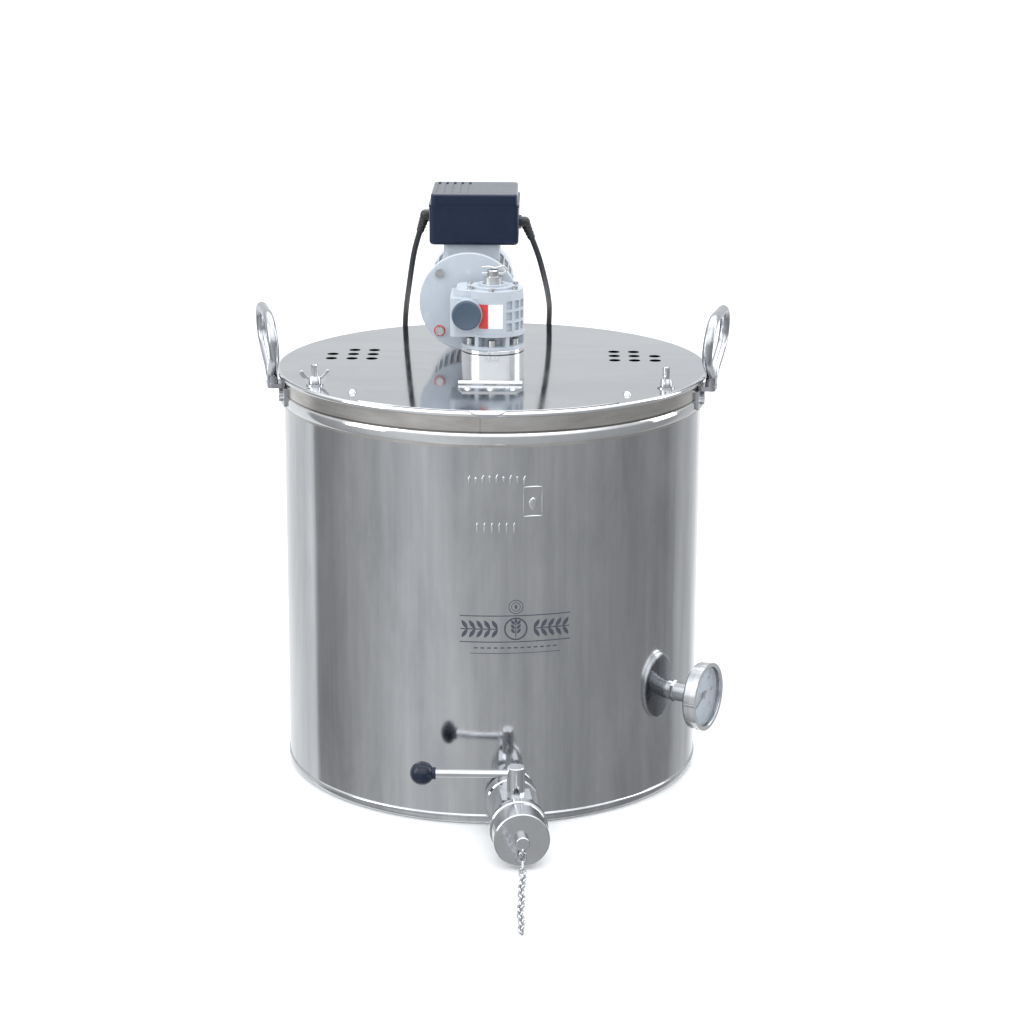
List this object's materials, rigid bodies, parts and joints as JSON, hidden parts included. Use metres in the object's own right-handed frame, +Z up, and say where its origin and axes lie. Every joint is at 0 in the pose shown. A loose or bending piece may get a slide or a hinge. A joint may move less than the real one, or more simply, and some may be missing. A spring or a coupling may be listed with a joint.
{
  "type": "brew kettle",
  "caption": "Stainless brew kettle with a hinged-hatch lid, lid-mounted worm gearmotor stirrer, side loop handles, ball drain valve and dial thermometer.",
  "frame": {"origin": "centre of the pot's bottom face, on the floor", "axes": "+Z up along the pot's axis, -Y to the front (hatch side), +X to the right"},
  "size_m": [0.5654, 0.9401, 0.684],
  "materials": {
    "black_plastic": "black moulded plastic",
    "box_plastic": "dark navy moulded plastic",
    "bronze": "bronze wheel",
    "collar_metal": "machined aluminium",
    "cord_black": "black rubber sheath",
    "dial": "pale enamel dial",
    "gear_paint": "light grey-blue paint on cast aluminium",
    "glass": "clear window",
    "knob_plastic": "dark phenolic knob",
    "laminations": "laminated electrical steel with copper ends",
    "pointer": "black pointer",
    "ptfe": "white fluoropolymer",
    "seal": "nitrile rubber",
    "silicone": "pale silicone gasket",
    "stainless_body": "satin bright stainless steel with fine vertical streaks",
    "stainless_mirror": "bright polished stainless steel",
    "stainless_small": "turned and polished stainless steel",
    "zinc": "zinc-plated steel"
  },
  "bodies": {
    "pot": {"pot_shell": "stainless_body", "rim_band": "stainless_body", "handle_left": "stainless_mirror", "handle_right": "stainless_mirror", "handle_bolts": "stainless_small", "lid_studs": "stainless_small", "bottom_bush": "ptfe", "drain_spigot": "stainless_small", "valve_body": "stainless_small", "valve_outlet": "stainless_small", "valve_seats": "ptfe", "thermometer_neck": "stainless_small", "thermometer_case": "stainless_small", "thermometer_dial": "dial", "thermometer_glass": "glass", "thermometer_bezel": "stainless_mirror"},
    "lid": {"lid_plate": "stainless_mirror", "hinge_rear_leaf": "stainless_small", "hinge_pin": "stainless_small", "lid_rivets_and_washers": "stainless_small", "adapter_collar": "collar_metal", "gearbox_housing": "gear_paint", "gearbox_bolts": "zinc", "gearbox_cover": "gear_paint", "ball_bearings": "stainless_small", "shaft_seals": "seal", "worm_end_cap": "gear_paint", "input_flange": "gear_paint", "motor_front_shield": "gear_paint", "motor_frame": "gear_paint", "stator": "laminations", "motor_rear_shield": "gear_paint", "fan_cowl": "gear_paint", "terminal_box": "box_plastic", "terminal_lid": "box_plastic", "cord_boots": "black_plastic", "mains_cord": "cord_black", "lead_cord": "cord_black", "mains_coil": "cord_black", "lead_coil": "cord_black", "mains_plug": "black_plastic", "lead_connector": "black_plastic"},
    "stirrer": {"worm_wheel": "bronze", "stirrer_shaft": "stainless_small", "hairpin_clip": "zinc", "stirrer_paddles": "stainless_small"},
    "rotor": {"rotor_and_worm": "laminations", "cooling_fan": "black_plastic"},
    "hatch_door": {"hatch": "stainless_mirror", "hinge_front_leaf": "stainless_small", "hatch_rivets": "stainless_small"},
    "wing_nut_l": {"wing_nut_left": "stainless_small"},
    "wing_nut_r": {"wing_nut_right": "stainless_small"},
    "lever": {"valve_ball_and_stem": "stainless_mirror", "valve_lever": "stainless_small", "lever_knob": "knob_plastic"},
    "cap": {"outlet_cap": "stainless_small", "cap_gasket": "silicone"},
    "chain": {"cap_chain": "stainless_small"},
    "gauge_pointer": {"thermometer_pointer": "pointer"}
  },
  "joints": [
    {"name": "lid_lift", "type": "slide", "parent": "pot", "child": "lid", "axis": [0, 0, 1], "range_m": [0, 0.5]},
    {"name": "hatch_hinge", "type": "hinge", "parent": "lid", "child": "hatch_door", "pos_m": [0, -0.126, 0.4952], "axis": [-1, 0, 0], "range_deg": [0, 105]},
    {"name": "stirrer_spin", "type": "hinge", "parent": "lid", "child": "stirrer", "pos_m": [0, 0, 0.5], "axis": [0, 0, 1], "continuous": true},
    {"name": "rotor_spin", "type": "hinge", "parent": "lid", "child": "rotor", "pos_m": [-0.03, 0, 0.5585], "axis": [0, 1, 0], "continuous": true},
    {"name": "wing_nut_left_spin", "type": "hinge", "parent": "lid", "child": "wing_nut_l", "pos_m": [-0.203, -0.123, 0.5], "axis": [0, 0, 1], "continuous": true},
    {"name": "wing_nut_right_spin", "type": "hinge", "parent": "lid", "child": "wing_nut_r", "pos_m": [0.203, -0.123, 0.5], "axis": [0, 0, 1], "continuous": true},
    {"name": "valve_turn", "type": "hinge", "parent": "pot", "child": "lever", "pos_m": [0.03435, -0.31111, 0.035], "axis": [0, 0, 1], "range_deg": [0, 90]},
    {"name": "cap_off", "type": "slide", "parent": "pot", "child": "cap", "axis": [0.1097, -0.994, 0], "range_m": [0, 0.06]},
    {"name": "chain_swing", "type": "hinge", "parent": "cap", "child": "chain", "pos_m": [0.04308, -0.39023, 0.0205], "axis": [0.1097, -0.994, 0], "range_deg": [-25, 25]},
    {"name": "pointer_turn", "type": "hinge", "parent": "pot", "child": "gauge_pointer", "pos_m": [0.25164, -0.1338, 0.12], "axis": [-0.8829, 0.4695, 0], "range_deg": [0, 240], "stiffness_Nm_per_rad": 0.0005}
  ],
  "couplings": [
    {"joint": "rotor_spin", "follows": "stirrer_spin", "ratio": 30}
  ]
}
